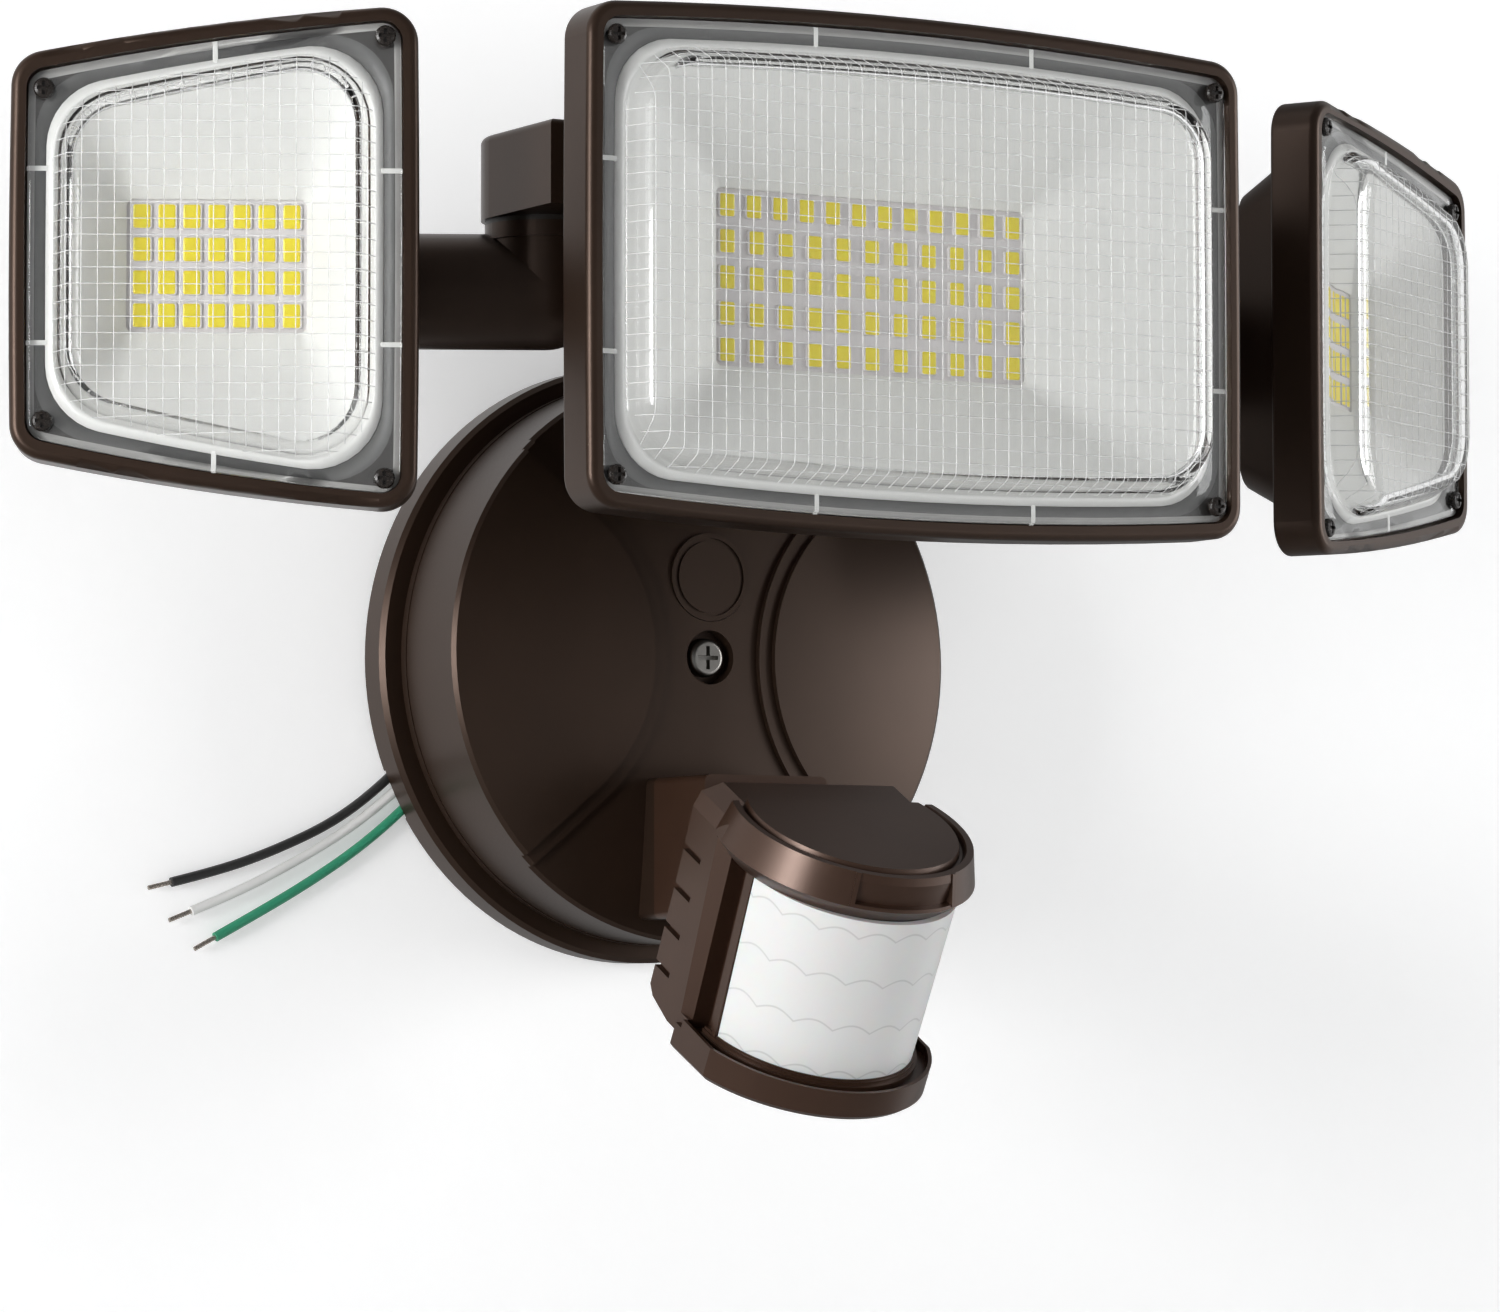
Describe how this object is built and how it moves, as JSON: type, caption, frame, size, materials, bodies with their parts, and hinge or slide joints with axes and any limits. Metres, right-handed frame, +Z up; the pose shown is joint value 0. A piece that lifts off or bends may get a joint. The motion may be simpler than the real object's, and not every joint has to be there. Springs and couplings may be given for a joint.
{
  "type": "motion sensor security light",
  "caption": "Wall-held outdoor security light: tilting LED flood heads on a yoke with swivel elbows, and a tilting motion sensor, on a round canopy.",
  "frame": {"origin": "centre of the canopy's wall face (the back of the wall gasket)", "axes": "+Z up, -Y out from the wall towards the viewer, +X to the viewer's right"},
  "size_m": [0.356, 0.1283, 0.2226],
  "materials": {
    "bronze_powder_coat": "die-cast aluminium, satin dark bronze powder coat",
    "bronze_plastic": "moulded weatherproof plastic, satin dark bronze",
    "black_plastic": "moulded nylon, dark bronze black",
    "bush_plastic": "moulded acetal, natural",
    "wall_foam": "closed-cell foam rubber",
    "grey_silicone": "moulded silicone, grey",
    "black_rubber": "moulded rubber",
    "zinc_steel": "zinc-plated steel",
    "screw_steel": "stainless steel, satin",
    "clear_polycarbonate": "moulded clear polycarbonate with a prism grid",
    "reflector_white": "moulded plastic, bright white",
    "led_board_white": "aluminium-core circuit board with white solder mask",
    "led_phosphor": "yellow phosphor LED packages",
    "sensor_lens_white": "moulded polyethylene Fresnel lens, milky white",
    "circuit_board": "glass-fibre circuit board, green",
    "sensor_can": "nickel-plated can",
    "dial_plastic": "moulded plastic, off white",
    "black_insulation": "extruded insulation, black",
    "white_insulation": "extruded insulation, white",
    "green_insulation": "extruded insulation, green",
    "tinned_copper": "tinned copper strands"
  },
  "bodies": {
    "canopy": {"canopy": "bronze_powder_coat", "wall_gasket": "wall_foam", "mounting_strap": "zinc_steel", "canopy_screw": "screw_steel", "knockout_plug": "bronze_powder_coat", "wire_grommet": "black_rubber", "neck_screws": "screw_steel", "bracket_screws": "screw_steel", "yoke": "bronze_powder_coat", "pivot_bushes": "bush_plastic", "sensor_bracket": "bronze_plastic", "black_wire": "black_insulation", "black_conductor": "tinned_copper", "white_wire": "white_insulation", "white_conductor": "tinned_copper", "green_wire": "green_insulation", "green_conductor": "tinned_copper"},
    "left_arm": {"left_elbow": "bronze_powder_coat", "left_swivel_washer": "black_plastic", "left_swivel_bolt": "zinc_steel", "left_tilt_bolt": "zinc_steel"},
    "right_arm": {"right_elbow": "bronze_powder_coat", "right_swivel_washer": "black_plastic", "right_swivel_bolt": "zinc_steel", "right_tilt_bolt": "zinc_steel"},
    "left_head": {"left_housing": "bronze_powder_coat", "left_lens": "clear_polycarbonate", "left_gasket": "grey_silicone", "left_reflector": "reflector_white", "left_led_board": "led_board_white", "left_led_chips": "led_phosphor", "left_screws": "screw_steel"},
    "centre_head": {"centre_housing": "bronze_powder_coat", "centre_lens": "clear_polycarbonate", "centre_gasket": "grey_silicone", "centre_reflector": "reflector_white", "centre_led_board": "led_board_white", "centre_led_chips": "led_phosphor", "centre_screws": "screw_steel"},
    "right_head": {"right_housing": "bronze_powder_coat", "right_lens": "clear_polycarbonate", "right_gasket": "grey_silicone", "right_reflector": "reflector_white", "right_led_board": "led_board_white", "right_led_chips": "led_phosphor", "right_screws": "screw_steel"},
    "sensor": {"sensor_front_shell": "bronze_plastic", "sensor_rear_shell": "bronze_plastic", "sensor_lens": "sensor_lens_white", "sensor_pin": "zinc_steel", "sensor_board": "circuit_board", "infrared_element": "sensor_can"},
    "time_setting": {"time_dial": "dial_plastic"},
    "range_setting": {"range_dial": "dial_plastic"},
    "lux_setting": {"lux_dial": "dial_plastic"}
  },
  "joints": [
    {"name": "left_swivel", "type": "hinge", "parent": "canopy", "child": "left_arm", "pos_m": [-0.0645, -0.08, 0.084], "axis": [0, 0, -1], "range_deg": [-27.7, 17.3]},
    {"name": "right_swivel", "type": "hinge", "parent": "canopy", "child": "right_arm", "pos_m": [0.0645, -0.08, 0.084], "axis": [0, 0, 1], "range_deg": [-27.7, 17.3]},
    {"name": "left_tilt", "type": "hinge", "parent": "left_arm", "child": "left_head", "pos_m": [-0.12232, -0.04965, 0.0697], "axis": [0.8854, -0.4648, 0], "range_deg": [-15, 45]},
    {"name": "right_tilt", "type": "hinge", "parent": "right_arm", "child": "right_head", "pos_m": [0.12232, -0.04965, 0.0697], "axis": [0.8854, 0.4648, 0], "range_deg": [-15, 45]},
    {"name": "centre_tilt", "type": "hinge", "parent": "canopy", "child": "centre_head", "pos_m": [0, -0.1, 0.0925], "axis": [1, 0, 0], "range_deg": [-10, 25]},
    {"name": "sensor_tilt", "type": "hinge", "parent": "canopy", "child": "sensor", "pos_m": [0, -0.06996, -0.04725], "axis": [1, 0, 0], "range_deg": [-28.5, 16.5]},
    {"name": "time_dial_turn", "type": "hinge", "parent": "sensor", "child": "time_setting", "pos_m": [-0.012, -0.06715, -0.0826], "axis": [0, -0.4772, 0.8788], "range_deg": [-135, 135]},
    {"name": "range_dial_turn", "type": "hinge", "parent": "sensor", "child": "range_setting", "pos_m": [0, -0.06715, -0.0826], "axis": [0, -0.4772, 0.8788], "range_deg": [-135, 135]},
    {"name": "lux_dial_turn", "type": "hinge", "parent": "sensor", "child": "lux_setting", "pos_m": [0.012, -0.06715, -0.0826], "axis": [0, -0.4772, 0.8788], "range_deg": [-135, 135]}
  ]
}
